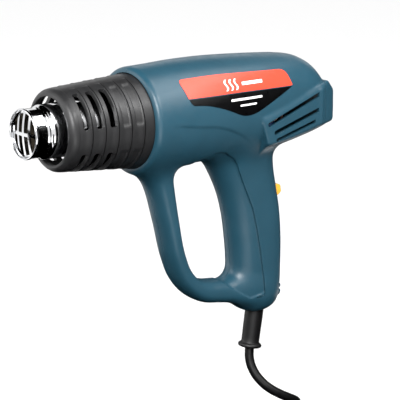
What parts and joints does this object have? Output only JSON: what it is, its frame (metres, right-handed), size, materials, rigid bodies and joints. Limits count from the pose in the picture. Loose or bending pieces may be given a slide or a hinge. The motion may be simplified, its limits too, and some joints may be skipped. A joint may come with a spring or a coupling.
{
  "type": "heat gun",
  "caption": "Hand-held heat gun with a closed guard-loop handle, ribbed black nozzle shroud, steel nozzle with grille, rear air slots, slide switch and mains cord.",
  "frame": {"origin": "the middle of the handle, where a hand holds the tool", "axes": "nozzle points along -X, handle hangs along -Z, left side of the tool is -Y"},
  "size_m": [0.2605, 0.0995, 0.3167],
  "materials": {
    "housing_blue": "satin moulded nylon",
    "shroud_black": "satin heat-resistant moulding",
    "nozzle_chrome": "polished",
    "steel": "plated",
    "mica": "matte mica board",
    "ceramic": "unglazed",
    "resistance_wire": "oxidised",
    "knob_amber": "satin",
    "rubber_black": "matte",
    "copper": "lacquered",
    "magnet": "sintered",
    "board_green": "coated",
    "label": "printed film, red over black",
    "plastic_white": "moulded",
    "wire_brown": "insulation",
    "wire_blue": "insulation",
    "brass": "plain"
  },
  "bodies": {
    "gun": {"left_housing": "housing_blue", "right_housing": "housing_blue", "tail_cap": "housing_blue", "switch_panel": "housing_blue", "label_left": "label", "label_right": "label", "nozzle_shroud": "shroud_black", "heater_tube": "nozzle_chrome", "mouth_grille": "nozzle_chrome", "mica_sleeve": "mica", "mica_core": "mica", "heating_coil": "resistance_wire", "heater_base": "ceramic", "thermal_cutout": "steel", "fan_duct": "shroud_black", "motor_can": "steel", "motor_magnet_1": "magnet", "motor_magnet_2": "magnet", "motor_end_cap": "plastic_white", "bearing_bush_1": "brass", "bearing_bush_2": "brass", "motor_bracket": "steel", "rectifier_board": "board_green", "switch_body": "shroud_black", "suppression_capacitor": "plastic_white", "supply_lead_live": "wire_brown", "supply_lead_neutral": "wire_blue", "heater_lead_1": "wire_brown", "heater_lead_2": "wire_blue", "motor_lead_1": "wire_brown", "motor_lead_2": "wire_blue", "cord_boot": "rubber_black", "inner_cable": "rubber_black", "cord_clamp": "shroud_black", "clamp_screw_1": "steel", "clamp_screw_2": "steel", "power_cord_lead": "rubber_black", "power_cord_coil": "rubber_black", "power_cord_tail": "rubber_black", "plug_body": "rubber_black", "plug_pin_1": "brass", "plug_pin_2": "brass", "housing_screw_1": "steel", "housing_screw_2": "steel", "housing_screw_3": "steel", "housing_screw_4": "steel", "housing_screw_5": "steel", "housing_screw_6": "steel", "housing_screw_7": "steel"},
    "fan": {"fan_impeller": "shroud_black", "motor_shaft": "steel", "motor_armature": "copper"},
    "switch_slider": {"switch_knob": "knob_amber"}
  },
  "joints": [
    {"name": "fan_spin", "type": "hinge", "parent": "gun", "child": "fan", "pos_m": [-0.036, 0, 0.086], "axis": [1, 0, 0], "continuous": true},
    {"name": "switch_slide", "type": "slide", "parent": "gun", "child": "switch_slider", "axis": [-0.1908, 0, 0.9816], "range_m": [0, 0.009]}
  ]
}
